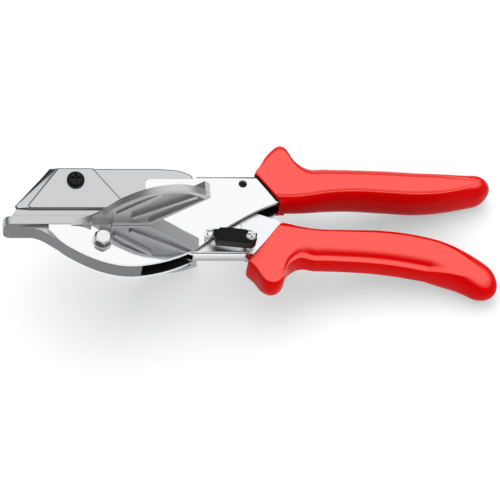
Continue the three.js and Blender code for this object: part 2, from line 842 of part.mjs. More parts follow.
function clampPlate() {
  const square = clampOutline(0, 0);
  const drawn = clampOutline(clampBevelTop, clampBevelFoot);
  const level = (points, z) => points.map((p) => [p.x, p.y, z]);
  let shape = wasm.Manifold.hull([
    ...level(square, clampBack),
    ...level(square, clampFront - clampBevelDepth),
    ...level(drawn, clampFront)
  ]);
  const recess = plate(grown(bladeOutline, seat), clampBack - overrun, bladeFront + seat);
  shape = shape.subtract(recess);
  const pinRoom = bladeFront + bladeThickness / 2 + seat;
  for (const [x, y] of bladePinPlaces) {
    shape = shape.subtract(bar(x, y, bladePinRadius + seat, 0, pinRoom, 12));
  }
  return shape.subtract(bar(bladeScrewX, bladeScrewY, bladeScrewRadius + running, 0, outerWidth));
}
addPart('blade_clamp_plate', clampPlate(), '#d6d7d9', 0.22, 1);

// A cross recess: two crossed slots sunk into a screw head
function crossRecess(x, y, width, length, low, high) {
  return block(x - length / 2, x + length / 2, y - width / 2, y + width / 2, low, high)
    .add(block(x - width / 2, x + width / 2, y - length / 2, y + length / 2, low, high));
}

const bladeHeadBase = clampFront + seat;
const bladeHeadTop = bladeHeadBase + bladeScrewHeadHeight;
const bladeScrew = turned([
  at(0, -armFace),
  at(bladeScrewRadius, -armFace),
  at(bladeScrewRadius, bladeHeadBase),
  at(bladeScrewHead, bladeHeadBase),
  at(bladeScrewHead, bladeHeadBase + bladeScrewHeadHeight * 0.35),
  at(bladeScrewHead * 0.87, bladeHeadBase + bladeScrewHeadHeight * 0.75),
  at(bladeScrewHead * 0.55, bladeHeadBase + bladeScrewHeadHeight * 0.97),
  at(0, bladeHeadTop)
], bladeScrewX, bladeScrewY).subtract(crossRecess(
  bladeScrewX, bladeScrewY, bladeScrewRadius * 0.4, bladeScrewHead * 1.05,
  bladeHeadTop - bladeScrewHeadHeight * 0.6, bladeHeadTop + overrun
));
addPart('blade_screw', bladeScrew, ...blackSteel);

// Strike pin of the latch, riveted in the near cheek
const latchPin = turned([
  at(0, outerInside + seat),
  at(latchShank, outerInside + seat),
  at(latchShank, outerFace + seat),
  at(latchPinRadius, outerFace + seat),
  at(latchPinRadius, outerFace + latchPinHeight * 0.9),
  at(latchPinRadius * 0.8, outerFace + latchPinHeight),
  at(0, outerFace + latchPinHeight)
], latchPinX, latchPinY);
addPart('latch_pin', latchPin, ...steel);

// Latch: a steel hook under a black thumb piece, on a shoulder screw in the inner cheek
const hookBase = outerFace + latchLift;
const hookTop = hookBase + latchHookThickness;
const latchBodyTop = hookTop + seat + latchBodyThickness;
const hookUnder = latchPinY + latchPinRadius + running;
const hookReach = latchPinX - latchPinRadius - running;
const hookOutline = [
  at(latchScrewX + latchHeadRadius, latchScrewY - latchHeadRadius),
  ...arc(latchScrewX, latchScrewY, latchHeadRadius * 1.4, 0.06, 0.22, 5),
  at(latchPinX + latchHookWidth * 2, hookUnder + latchHookWidth * 1.2),
  at(hookReach - latchHookWidth * 0.5, hookUnder + latchHookWidth),
  at(hookReach - latchHookWidth, hookUnder + latchHookWidth * 0.5),
  at(hookReach - latchHookWidth, latchPinY - latchPinRadius * 0.2),
  at(hookReach, latchPinY - latchPinRadius * 0.2),
  at(hookReach, hookUnder),
  at(latchPinX + latchHookWidth * 1.7, hookUnder),
  at(latchPinX + latchHookWidth * 2.2, latchScrewY - latchHookWidth)
];
const latchHole = bar(latchScrewX, latchScrewY, latchScrewRadius + running, 0, outerWidth * 2);
addPart('latch_hook', plate(hookOutline, hookBase, hookTop).subtract(latchHole), ...steel);

const latchBodyTopY = latchScrewY + latchBodyWidth / 2;
const latchBodyFootY = latchScrewY - latchBodyWidth / 2;
const latchBodyOutline = [
  at(latchScrewX - latchBodyReach, latchBodyTopY - latchBodyWidth * 0.45),
  at(latchScrewX - latchBodyReach * 0.9, latchBodyTopY),
  at(latchScrewX - latchHeadRadius * 0.4, latchBodyTopY - latchEdge),
  ...arc(latchScrewX, latchScrewY, latchHeadRadius * 1.25, 0.2, -0.1, 7),
  at(latchScrewX + latchHeadRadius * 0.3, latchBodyFootY - latchEdge),
  at(latchScrewX - latchHeadRadius * 0.6, latchBodyFootY - latchEdge * 1.5),
  at(latchScrewX - latchBodyReach * 0.92, latchBodyFootY)
];
const latchHeadSeat = latchBodyTop - latchHeadHeight * 0.6;
function latchBody() {
  const points = grown(latchBodyOutline, -latchEdge).reverse();
  const geometry = new THREE.ExtrudeGeometry(new THREE.Shape(points), {
    depth: latchBodyThickness - latchEdge,
    bevelThickness: latchEdge,
    bevelSize: latchEdge,
    bevelSegments: 3
  });
  geometry.translate(0, 0, hookTop + seat);
  const body = solidOf(geometry).intersect(plate(
    grown(latchBodyOutline, overrun), hookTop + seat, latchBodyTop + overrun
  ));
  return body.subtract(latchHole).subtract(bar(
    latchScrewX, latchScrewY, latchHeadRadius + running, latchHeadSeat, outerWidth * 2
  ));
}
addPart('latch_thumb_piece', latchBody(), ...blackPlastic);

const latchHeadBase = latchHeadSeat + seat;
const latchScrewTop = latchHeadBase + latchHeadHeight;
const latchScrew = turned([
  at(0, innerInside + seat),
  at(latchScrewRadius, innerInside + seat),
  at(latchScrewRadius, latchHeadBase),
  at(latchHeadRadius, latchHeadBase),
  at(latchHeadRadius, latchHeadBase + latchHeadHeight * 0.5),
  at(latchHeadRadius * 0.7, latchScrewTop - latchHeadHeight * 0.1),
  at(0, latchScrewTop)
], latchScrewX, latchScrewY).subtract(crossRecess(
  latchScrewX, latchScrewY, latchScrewRadius * 0.45, latchHeadRadius * 1.2,
  latchHeadBase + latchHeadHeight * 0.4, latchScrewTop + overrun
));
addPart('latch_screw', latchScrew, ...chrome);
addPart('latch_spacer', ring(
  latchScrewX, latchScrewY, latchScrewRadius + running, latchHeadRadius,
  innerFace + seat, hookBase - running
), ...steel);

// Opening spring: pushes the outer web and the blade arm's tail apart
function openingSpring() {
  const top = webHeight - outerSheet - seat - springWire / 2;
  const bottom = springFoot + springWire / 2;
  const stepsPerTurn = 10;
  const sides = 6;
  const steps = springTurns * stepsPerTurn;
  const positions = [];
  const index = [];
  for (let i = 0; i <= steps; i++) {
    const angle = 2 * Math.PI * i / stepsPerTurn;
    const level = bottom + (top - bottom) * i / steps;
    for (let k = 0; k < sides; k++) {
      const around = 2 * Math.PI * k / sides;
      const radius = springRadius + springWire / 2 * Math.cos(around);
      positions.push(
        springX + radius * Math.cos(angle),
        level + springWire / 2 * Math.sin(around),
        radius * Math.sin(angle)
      );
    }
  }
  for (let k = 0; k < sides; k++) {
    const next = (k + 1) % sides;
    for (let i = 0; i < steps; i++) {
      const a = i * sides + k;
      const b = i * sides + next;
      index.push(a, b, a + sides, b, b + sides, a + sides);
    }
  }
  for (let k = 1; k < sides - 1; k++) {
    index.push(0, k + 1, k);
    index.push(steps * sides, steps * sides + k, steps * sides + k + 1);
  }
  const geometry = new THREE.BufferGeometry();
  geometry.setAttribute('position', new THREE.Float32BufferAttribute(positions, 3));
  geometry.setIndex(index);
  return solidOf(geometry);
}
addPart('opening_spring', openingSpring(), ...steel);

// Grips: each sleeve is open at its mouth, where it is cut back along a slant
const mouthRun = 10;
function upperGrip() {
  const blank = gripBlank(upperForm, 1);
  const room = plate(grown(outerOutline, gripGap), -outerFace - gripGap, outerFace + gripGap);
  const mouth = plate([
    at(upperMouthX - mouthRun, webHeight - seat),
    at(upperMouthX + seat, webHeight - seat),
    at(upperMouthX + mouthRun, -outerTailHeight / 4),
    at(upperMouthX + mouthRun * 0.96, -outerTailHeight * 2),
    at(upperMouthX - mouthRun, -outerTailHeight * 2)
  ], -upperThickness, upperThickness);
  return blank.subtract(room).subtract(mouth);
}
addPart('upper_grip', upperGrip(), ...redPvc);

function lowerGrip() {
  const blank = gripBlank(lowerForm, -1);
  const room = plate(grown(innerOutline, gripGap), -innerFace - gripGap, innerFace + gripGap);
  const mouth = plate([
    at(lowerMouthX - mouthRun, lowerAxisY + mouthRun * 1.4),
    at(lowerMouthX - mouthRun, -innerWebDepth - innerSheet),
    at(lowerMouthX + seat, -innerWebDepth - innerSheet * 2),
    at(lowerMouthX + mouthRun * 1.52, lowerAxisY + mouthRun),
    at(lowerMouthX + mouthRun * 1.52, lowerAxisY + mouthRun * 1.4)
  ], -lowerThickness, lowerThickness);
  return blank.subtract(room).subtract(mouth);
}
addPart('lower_grip', lowerGrip(), ...redPvc);

// The origin is at the middle of the foot of the whole tool's box
const box = new THREE.Box3().setFromObject(group);
const foot = box.getCenter(new THREE.Vector3()).setZ(box.min.z);
for (const mesh of group.children) {
  mesh.position.sub(foot);
}

export default group;
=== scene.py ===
import json
import math

import bmesh
import bpy
import numpy as np
from mathutils import Matrix, Vector


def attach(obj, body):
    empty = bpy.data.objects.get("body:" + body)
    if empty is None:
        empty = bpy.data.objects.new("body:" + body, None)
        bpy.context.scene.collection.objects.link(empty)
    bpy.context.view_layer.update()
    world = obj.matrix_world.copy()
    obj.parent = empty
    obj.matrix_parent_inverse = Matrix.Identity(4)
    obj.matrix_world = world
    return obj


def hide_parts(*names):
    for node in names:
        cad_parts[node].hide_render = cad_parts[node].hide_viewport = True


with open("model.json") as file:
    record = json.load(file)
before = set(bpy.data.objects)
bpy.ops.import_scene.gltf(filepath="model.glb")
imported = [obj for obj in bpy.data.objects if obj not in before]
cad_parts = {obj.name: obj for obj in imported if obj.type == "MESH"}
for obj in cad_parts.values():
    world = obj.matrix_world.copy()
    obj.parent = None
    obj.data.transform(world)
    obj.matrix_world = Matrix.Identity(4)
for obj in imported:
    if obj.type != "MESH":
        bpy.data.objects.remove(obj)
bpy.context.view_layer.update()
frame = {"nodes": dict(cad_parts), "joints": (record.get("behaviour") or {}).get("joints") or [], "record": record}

# The main pivot: every place below is measured from it, as the tool's own drawing does.
# The joint in the record says where it is, in metres.
hinge = next(joint for joint in frame["joints"] if joint["name"] == "lever_open")
pivot = Vector(hinge["pos_m"])
mm = 0.001


def place(x, y, z=0.0):
    """A point given in millimetres from the main pivot, in metres in the part's frame."""
    return pivot + Vector((x, y, z)) * mm


# Camera: a long lens above the tool, leaning towards the anvil side and a little to the nose,
# so that the undersides of the wing and of the bow show. The tool's long axis stays level.
camera_distance = 2.0
pixels_per_metre = 2290
frame_pixels = 500
sensor = 36
camera = bpy.data.objects.new("camera", bpy.data.cameras.new("camera"))
camera.data.sensor_width = sensor
camera.data.lens = sensor * pixels_per_metre * camera_distance / frame_pixels
camera.data.clip_start = 0.01
camera.data.clip_end = 30
back = Vector((-0.12, -0.47, 0.87)).normalized()
right = (Vector((1, 0, 0)) - back * back.x).normalized()
up = back.cross(right)
aim = place(33.8, -21.9)
camera.matrix_world = Matrix((
    (right.x, up.x, back.x, aim.x + back.x * camera_distance),
    (right.y, up.y, back.y, aim.y + back.y * camera_distance),
    (right.z, up.z, back.z, aim.z + back.z * camera_distance),
    (0, 0, 0, 1),
))
bpy.context.scene.collection.objects.link(camera)
bpy.context.scene.camera = camera
bpy.context.scene.view_settings.view_transform = "Standard"


# Floor: matt white paper under the tool. The tool lies on its far wing and the ends of its
# grips, so the paper leans a little against the blade's plane. It glows a little where it is seen
# or mirrored, so that it shows white with a soft shadow.
def lowest(node, normal):
    """The point of a CAD node that lies lowest along a normal."""
    mesh = frame["nodes"][node].data
    points = np.empty(len(mesh.vertices) * 3)
    mesh.vertices.foreach_get("co", points)
    points = points.reshape(-1, 3)
    return Vector(points[np.argmin(points @ np.array(normal))])


# Each round takes the lowest points along the last normal, and the plane through them.
rounds = 6
floor_normal = Vector((0, 0, 1))
for _ in range(rounds):
    rest_points = [lowest(node, floor_normal) for node in ("anvil_table", "upper_grip", "lower_grip")]
    across = rest_points[1] - rest_points[0]
    floor_normal = across.cross(rest_points[2] - rest_points[0]).normalized()
    if floor_normal.z < 0:
        floor_normal.negate()
floor_half = 4.0
floor_mesh = bpy.data.meshes.new("floor")
corners = [Vector((x, y, 0)) * floor_half for x, y in ((-1, -1), (1, -1), (1, 1), (-1, 1))]
floor_turn = floor_normal.to_track_quat("Z", "Y").to_matrix()
floor_mesh.from_pydata([rest_points[0] + floor_turn @ c for c in corners], [], [(0, 1, 2, 3)])
floor = bpy.data.objects.new("floor", floor_mesh)
bpy.context.scene.collection.objects.link(floor)


def linear(text):
    """An sRGB hex colour such as '#c0c2c4' as linear RGBA."""
    values = [int(text[i:i + 2], 16) / 255 for i in (1, 3, 5)]
    return [v / 12.92 if v <= 0.04045 else ((v + 0.055) / 1.055) ** 2.4 for v in values] + [1]


def add(tree, kind, links=None, **settings):
    """Adds a node to a tree. Settings are its properties, and links maps an input's name
    or number to a value or to another node's output."""
    made = tree.nodes.new(kind)
    for name, value in settings.items():
        setattr(made, name, value)
    for name, value in (links or {}).items():
        if isinstance(value, bpy.types.NodeSocket):
            tree.links.new(value, made.inputs[name])
        else:
            made.inputs[name].default_value = value
    return made


glow, glow_strength = "#ffffff", 0.32
paper = bpy.data.materials.new("white_paper")
paper.use_nodes = True
tree = paper.node_tree
tree.nodes.clear()
matt = add(tree, "ShaderNodeBsdfDiffuse", {"Color": linear("#e6e6e6")})
lift = add(tree, "ShaderNodeEmission", {"Color": linear(glow), "Strength": glow_strength})
both = add(tree, "ShaderNodeAddShader", {0: matt.outputs[0], 1: lift.outputs[0]})
path = add(tree, "ShaderNodeLightPath")
seen = add(tree, "ShaderNodeMath", {0: path.outputs["Is Camera Ray"], 1: path.outputs["Is Glossy Ray"]},
           operation="MAXIMUM")
mix = add(tree, "ShaderNodeMixShader", {0: seen.outputs[0], 1: matt.outputs[0], 2: both.outputs[0]})
add(tree, "ShaderNodeOutputMaterial", {"Surface": mix.outputs[0]})
floor_mesh.materials.append(paper)

# Light: a white tent that is open and dark low down, and in front of the tool also half way up,
# so that bends in the chrome show dark lines. A soft box hangs overhead, and two fills light
# what isn't polished.
world = bpy.data.worlds.new("tent")
world.use_nodes = True
bpy.context.scene.world = world
tree = world.node_tree
tree.nodes.clear()
direction = add(tree, "ShaderNodeTexCoord")
split = add(tree, "ShaderNodeSeparateXYZ", {0: direction.outputs["Generated"]})


def sky(stops):
    """The tent's brightness by height: a colour ramp over the direction's Z."""
    shades = add(tree, "ShaderNodeValToRGB", {0: split.outputs["Z"]})
    for level, _ in stops[1:-1]:
        shades.color_ramp.elements.new(level)
    for element, (level, colour) in zip(shades.color_ramp.elements, stops):
        element.position = level
        element.color = linear(colour)
    return shades


front_to, back_from, tent_strength = -0.4, -0.05, 1.06
in_front = sky([
    (0.0, "#181818"), (0.3, "#303030"), (0.55, "#585858"), (0.85, "#d0d0d0"), (1.0, "#e0e0e0")])
behind = sky([
    (0.0, "#101010"), (0.4, "#181818"), (0.5, "#808080"), (0.62, "#dcdcdc"), (1.0, "#e0e0e0")])
side = add(tree, "ShaderNodeMapRange", {
    "Value": split.outputs["Y"], "From Min": front_to, "From Max": back_from})
both_sides = add(tree, "ShaderNodeMixRGB", {
    0: side.outputs[0], 1: in_front.outputs[0], 2: behind.outputs[0]})
tent = add(tree, "ShaderNodeBackground", {"Color": both_sides.outputs[0], "Strength": tent_strength})
add(tree, "ShaderNodeOutputWorld", {"Surface": tent.outputs[0]})


def lamp(name, where, size, power, mirrored=True):
    """A square soft lamp at a place in metres from the pivot, aimed at the pivot. Polished
    faces show it only if it is mirrored."""
    made = bpy.data.objects.new(name, bpy.data.lights.new(name, "AREA"))
    made.data.size = size
    made.data.energy = power
    made.location = pivot + Vector(where)
    made.visible_glossy = mirrored
    made.rotation_mode = "QUATERNION"
    made.rotation_quaternion = Vector(where).to_track_quat("Z", "Y")
    bpy.context.scene.collection.objects.link(made)


lamp("soft_box", (0.1, 0.4, 1.15), size=1.7, power=2.6)
lamp("fill", (-0.2, 0.6, 1.1), size=1.2, power=6.5, mirrored=False)
lamp("front_fill", (0.1, -1.2, 0.8), size=1.4, power=8.0, mirrored=False)

# Outer channel: the anvil lever is pressed from mild steel sheet, polished and nickel-chrome
# plated, so its cheeks mirror the tent and the wing. Its cut edge is duller, and its inside is painted dark, a
# painted shade.
bodies = frame["record"]["behaviour"]["bodies"]
body_of = {node: body for body, nodes in bodies.items() for node in nodes}


def metal(name, colour, roughness, grain_mm=None, grain=0.0, stretch=(1, 1, 1), bump=0.0,
          metallic=1.0):
    """A metal with a fine grain: noise at the grain's size in millimetres varies its roughness by
    grain and raises its surface by bump. A stretch under 1 draws the grain out along an axis."""
    noise_low, noise_high, noise_detail, least_roughness = 0.3, 0.7, 4.0, 0.02
    material = bpy.data.materials.new(name)
    material.use_nodes = True
    tree = material.node_tree
    tree.nodes.clear()
    shader = add(tree, "ShaderNodeBsdfPrincipled", {
        "Base Color": linear(colour), "Metallic": metallic, "Roughness": roughness})
    if grain_mm:
        where = add(tree, "ShaderNodeTexCoord")
        scaled = add(tree, "ShaderNodeMapping", {
            "Vector": where.outputs["Object"], "Scale": [s / (grain_mm * mm) for s in stretch]})
        noise = add(tree, "ShaderNodeTexNoise", {
            "Vector": scaled.outputs[0], "Scale": 1.0, "Detail": noise_detail})
        spread = add(tree, "ShaderNodeMapRange", {
            "Value": noise.outputs[0], "From Min": noise_low, "From Max": noise_high,
            "To Min": max(roughness - grain, least_roughness), "To Max": roughness + grain})
        tree.links.new(spread.outputs[0], shader.inputs["Roughness"])
        rough = add(tree, "ShaderNodeBump", {
            "Height": noise.outputs[0], "Strength": bump, "Distance": grain_mm * mm})
        tree.links.new(rough.outputs[0], shader.inputs["Normal"])
    add(tree, "ShaderNodeOutputMaterial", {"Surface": shader.outputs[0]})
    return material


def attached(name, mesh, node, stands_for=True):
    """A piece made of a mesh, on the body of a CAD node. It is shown in the node's place if it
    stands for it."""
    piece = bpy.data.objects.new(name, mesh)
    bpy.context.scene.collection.objects.link(piece)
    if stands_for:
        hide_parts(node)
    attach(piece, body_of[node])
    return piece


def rimmed(work, rim_mm, number):
    """Gives a material number to a rim of the given width round the flats of a mesh that face up
    and at the foot of its slants that do, but not along its lowest Y."""
    flat_from, slant_from = 0.99, 0.5
    flats = [face for face in work.faces if face.normal.z > flat_from]
    slants = [face for face in work.faces if slant_from < face.normal.z < flat_from]
    lowest_y = min(corner.co.y for face in flats for corner in face.verts)
    for faces in (flats, slants):
        heights = [corner.co.z for face in faces for corner in face.verts]
        halfway = (min(heights) + max(heights)) / 2 if faces else 0
        inset = bmesh.ops.inset_region(
            work, faces=faces, thickness=rim_mm * mm, use_boundary=True, use_even_offset=True)
        for face in inset["faces"]:
            middle = face.calc_center_median()
            outside = faces is flats or middle.z < halfway
            if outside and middle.y > lowest_y + rim_mm * mm:
                face.material_index = number


def dressed(node, material, edge_mm, others=(), choose=None, edge=None, rim_mm=0):
    """A copy of a CAD node with its flats merged, its edges broken by a small bevel and its
    round faces shaded smooth. Where there are other materials, choose(middle, normal) gives a
    face's number among them, with its middle in millimetres from the pivot, and 0 is the first
    material. The broken edges, and a rim beside them, can have a material of their own."""
    merge_distance, flat_angle, sharp_angle = 2e-6, math.radians(0.6), math.radians(32)
    mesh = frame["nodes"][node].data.copy()
    mesh.materials.clear()
    for each in (material, *others):
        mesh.materials.append(each)
    work = bmesh.new()
    work.from_mesh(mesh)
    bmesh.ops.remove_doubles(work, verts=work.verts, dist=merge_distance)
    bmesh.ops.dissolve_limit(work, angle_limit=flat_angle, verts=work.verts, edges=work.edges)
    for face in work.faces:
        face.material_index = 0
        if choose:
            face.material_index = int(choose((face.calc_center_median() - pivot) / mm, face.normal))
    if edge:
        mesh.materials.append(edge)
    last = len(mesh.materials) - 1
    if rim_mm:
        rimmed(work, rim_mm, last)
    work.to_mesh(mesh)
    work.free()
    mesh.shade_smooth()
    mesh.set_sharp_from_angle(angle=sharp_angle)
    piece = attached(node + "_finished", mesh, node)
    if edge_mm:
        bevel = piece.modifiers.new("edges", "BEVEL")
        bevel.width = edge_mm * mm
        bevel.segments = 2
        bevel.limit_method = "ANGLE"
        bevel.angle_limit = sharp_angle
        if edge:
            bevel.material = last
            bevel.use_clamp_overlap = False


def faces_inwards(middle, normal):
    """True for a face of a channel's inside: it looks towards the blade's plane, or it is the
    underside of the web."""
    near_middle, mostly, squarely = 1, 0.5, 0.9
    on_web = abs(middle.z) < near_middle and abs(normal.y) > mostly and middle.y * normal.y < 0
    return on_web or (abs(normal.z) > squarely and middle.z * normal.z < 0)


def outer_finish(middle, normal):
    """1 for a face of the inside, 2 for the cheeks' cut edge below the handle, 0 for the rest."""
    web_half, table_end, leaning = 4.7, 7, 0.3
    downwards = normal.y < -leaning and abs(normal.z) < leaning
    cut = downwards and abs(middle.z) > web_half and middle.x > table_end
    return 1 if faces_inwards(middle, normal) else 2 if cut else 0


chrome = metal("polished_chrome_plate", "#f2f3f4", 0.05, grain_mm=6, grain=0.015, bump=0.004)
# Painted shade: the inside's dark colour stands in for the shade in the channel's hollow.
inside = metal("channel_inside_painted_shade", "#4a4b4c", 0.5, grain_mm=1, grain=0.1, bump=0.02)
cut_edge = metal("plated_cut_edge", "#b4b5b7", 0.4, metallic=0.6)
dressed("anvil_lever_channel", chrome, edge_mm=0.2, others=[inside, cut_edge], choose=outer_finish)

# Anvil table: a zinc die casting, tumbled and left bare, so its skin is grey and slightly grainy.
# Its faces that look up, and its wings' undersides, are a little smoother and painted lighter, a
# painted light; the rest, such as the bow's rim, is its grey skin darkened by painted shade. A bolt holds it.
# Painted light and shade: one zinc in three tones, chosen by facing and place.
zinc = metal("tumbled_zinc_casting_painted_shade", "#787a7c", 0.36, grain_mm=0.5, grain=0.06, bump=0.08, metallic=0.9)
zinc_upward_painted_light = metal("zinc_upward_faces_painted_light", "#c4c5c6", 0.3, grain_mm=0.5, grain=0.04, bump=0.02, metallic=0.75)
smooth = metal("smooth_zinc_underside_painted_light", "#c6c8ca", 0.3, grain_mm=0.5, grain=0.03, bump=0.01, metallic=0.7)


def casting_painted_light_and_shade(middle, normal):
    """1 for faces that look up and 2 for the wings' other faces above the bow, both painted lighter, 0 for the
    rest, painted darker.
    """
    wing_root, bow_top, upwards = 7, -17, 0.45
    if normal.z > upwards:
        return 1
    return 2 if abs(middle.z) > wing_root and middle.y > bow_top else 0


dressed("anvil_table", zinc, edge_mm=0.35, others=[zinc_upward_painted_light, smooth], choose=casting_painted_light_and_shade)

# Table bolt: a hexagon bolt through both cheeks and the casting, with a washer and a nut on the
# far side. All three are steel with bright zinc plate, and the bolt's flanks are painted darker, a painted shade.
plated = metal("bright_zinc_plate", "#e6e7e8", 0.1, grain_mm=0.6, grain=0.03, bump=0.01)
# Painted shade: the bolt's flanks take a darker colour.
painted_flank_shade = metal("bolt_flank_painted_shade", "#5c5d5e", 0.12)
fastener_edge = 0.15
flank_below = 0.5
dressed("table_bolt", plated, fastener_edge, others=[painted_flank_shade],
        choose=lambda middle, normal: abs(normal.z) < flank_below)
dressed("table_bolt_washer", plated, fastener_edge)
dressed("table_nut", plated, fastener_edge)

# Main pivot: a plated bolt and nut through both channels, with a washer under each, turn in a
# sintered bronze bush pressed into the blade arm.
bronze = metal("sintered_bronze", "#a8895a", 0.4, grain_mm=0.3, grain=0.1, bump=0.1)
for node in ("pivot_bolt", "pivot_nut", "pivot_washer_front", "pivot_washer_back"):
    dressed(node, plated, fastener_edge)
dressed("pivot_bush", bronze, edge_mm=0.1)

# Strike pin and opening spring: a plated pin riveted into the near cheek, which the latch hooks
# over, and a coil of plated wire that pushes the levers apart.
dressed("latch_pin", plated, fastener_edge)
dressed("opening_spring", plated, fastener_edge)


# Upper grip: the lever's tail is dipped in red PVC, which sets to a thick, glossy, rounded sleeve
# with a guard at its mouth. Its two flat faces end in a ridge where the thick skin has shrunk.
def plastic(name, colour, roughness, grain_mm, bump, index, painted_sheen_colour=None):
    """A moulded or dipped plastic with a fine surface grain. Where a mesh has an attribute
    named flat, its flats take another, paler colour, a painted sheen, and the light it throws back is neutral."""
    noise_detail, neutral = 3.0, "#808080"
    material = bpy.data.materials.new(name)
    material.use_nodes = True
    tree = material.node_tree
    tree.nodes.clear()
    where = add(tree, "ShaderNodeTexCoord")
    noise = add(tree, "ShaderNodeTexNoise", {
        "Vector": where.outputs["Object"], "Scale": 1 / (grain_mm * mm), "Detail": noise_detail})
    rough = add(tree, "ShaderNodeBump", {
        "Height": noise.outputs[0], "Strength": bump, "Distance": grain_mm * mm})
    shader = add(tree, "ShaderNodeBsdfPrincipled", {
        "Base Color": linear(colour), "Roughness": roughness, "IOR": index,
        "Normal": rough.outputs[0]})
    if painted_sheen_colour:
        flat = add(tree, "ShaderNodeAttribute", attribute_name="flat")
        painted_tone = add(tree, "ShaderNodeMixRGB", {
            0: flat.outputs["Fac"], 1: linear(colour), 2: linear(painted_sheen_colour)})
        path = add(tree, "ShaderNodeLightPath")
        bounced = add(tree, "ShaderNodeMixRGB", {
            0: path.outputs["Is Diffuse Ray"], 1: painted_tone.outputs[0], 2: linear(neutral)})
        tree.links.new(bounced.outputs[0], shader.inputs["Base Color"])
    add(tree, "ShaderNodeOutputMaterial", {"Surface": shader.outputs[0]})
    return material


def through(rows, at):
    """Smooth values at the places asked for: between two rows a cubic runs whose slope at each
    row is that of the chord between its neighbours. Also gives the slopes there."""
    places, values = rows[:, 0], rows[:, 1:]
    slopes = np.gradient(values, places, axis=0)
    k = np.clip(np.searchsorted(places, at, side="right") - 1, 0, len(places) - 2)
    gap = (places[k + 1] - places[k])[..., None]
    t = (at[..., None] - places[k][..., None]) / gap
    found = (values[k] * (1 + 2 * t) * (1 - t) ** 2 + slopes[k] * gap * t * (1 - t) ** 2
             + values[k + 1] * t * t * (3 - 2 * t) + slopes[k + 1] * gap * t * t * (t - 1))
    rate = (6 * t * (t - 1) * (values[k] - values[k + 1]) / gap
            + slopes[k] * (1 - t) * (1 - 3 * t) + slopes[k + 1] * t * (3 * t - 2))
    return found, rate


def ramp(value, start, end):
    """0 up to the start, 1 from the end, and a straight rise between them."""
    return np.clip((value - start) / (end - start), 0, 1)


def round_section(near_ridge):
    """The points round a sleeve's section, as five arrays. The way runs over the edge on the
    guard's side, the one flat, the other edge and the other flat. turn is the place on an edge,
    from -1 to 1, facing is 1 or -1 on a flat and 0 on an edge, and across is 1 on the guard's
    side and -1 on the other. A flat's points start at the given distances from each ridge, and
    from the last of them part is their share of the way to the middle."""
    side_points, flat_points = 31, 12
    middle = np.linspace(0, 1, flat_points)[1:]
    from_ridge = np.concatenate([near_ridge, 0 * middle + near_ridge[-1]])
    part = np.concatenate([0 * near_ridge, middle])
    from_ridge = np.concatenate([from_ridge, from_ridge[-2::-1]])
    part = np.concatenate([part, part[-2::-1]])
    sign = np.sign(np.arange(len(part))[::-1] - (len(part) - 1) / 2)
    side = np.linspace(-1, 1, side_points)[1:-1]
    none, flat_none = 0 * side, 0 * part
    turn = np.concatenate([side, flat_none, side[::-1], flat_none])
    facing = np.concatenate([none, flat_none + 1, none, flat_none - 1])
    across = np.concatenate([none + 1, sign, none - 1, -sign])
    from_ridge = np.concatenate([none, from_ridge, none, from_ridge])
    part = np.concatenate([none, part, none, part])
    return turn, facing, across, from_ridge, part


def joined(rings):
    """The points and the faces of a row of closed rings, each joined to the next by quads."""
    grid = np.array(rings)
    number = np.arange(grid.shape[0] * grid.shape[1]).reshape(grid.shape[:2])
    after = np.roll(number, -1, 1)
    quads = np.stack([number[:-1], after[:-1], after[1:], number[1:]], -1).reshape(-1, 4)
    return grid.reshape(-1, 3), quads.tolist()


